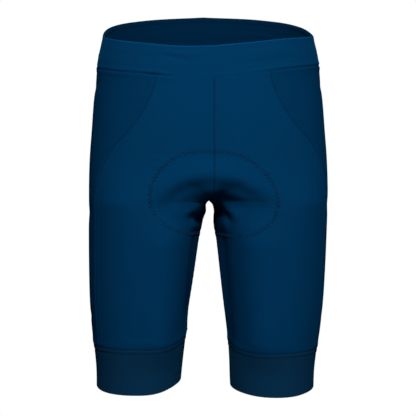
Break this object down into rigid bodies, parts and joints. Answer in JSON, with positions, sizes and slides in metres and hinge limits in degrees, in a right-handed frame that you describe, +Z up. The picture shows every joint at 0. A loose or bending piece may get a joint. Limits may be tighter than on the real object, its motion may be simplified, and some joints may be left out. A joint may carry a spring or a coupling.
{
  "type": "cycling shorts",
  "caption": "Thigh-length stretch-knit cycling shorts, filled out as worn and hollow, with a wide elastic waistband, leg grippers at the hems and a seat pad sewn inside.",
  "frame": {"origin": "the waist mount, in the middle of the waistband where the wearer's waist holds the shorts up", "axes": "+Z up, along the wearer's height; -Y the way the wearer faces; +X towards the wearer's left leg"},
  "size_m": [0.3412, 0.2382, 0.5381],
  "materials": {
    "body_knit": "dark petrol-blue stretch knit, smooth with a soft sheen",
    "waist_elastic": "the same knit, doubled over elastic",
    "cuff_elastic": "slightly greyer elastic knit",
    "pad_fleece": "matte brushed fleece over foam"
  },
  "bodies": {
    "root": {"waistband": "waist_elastic", "front_left": "body_knit", "front_right": "body_knit", "side_left": "body_knit", "side_right": "body_knit", "back_left": "body_knit", "back_right": "body_knit", "cuff_left": "cuff_elastic", "cuff_right": "cuff_elastic", "seat_pad": "pad_fleece"}
  },
  "joints": []
}
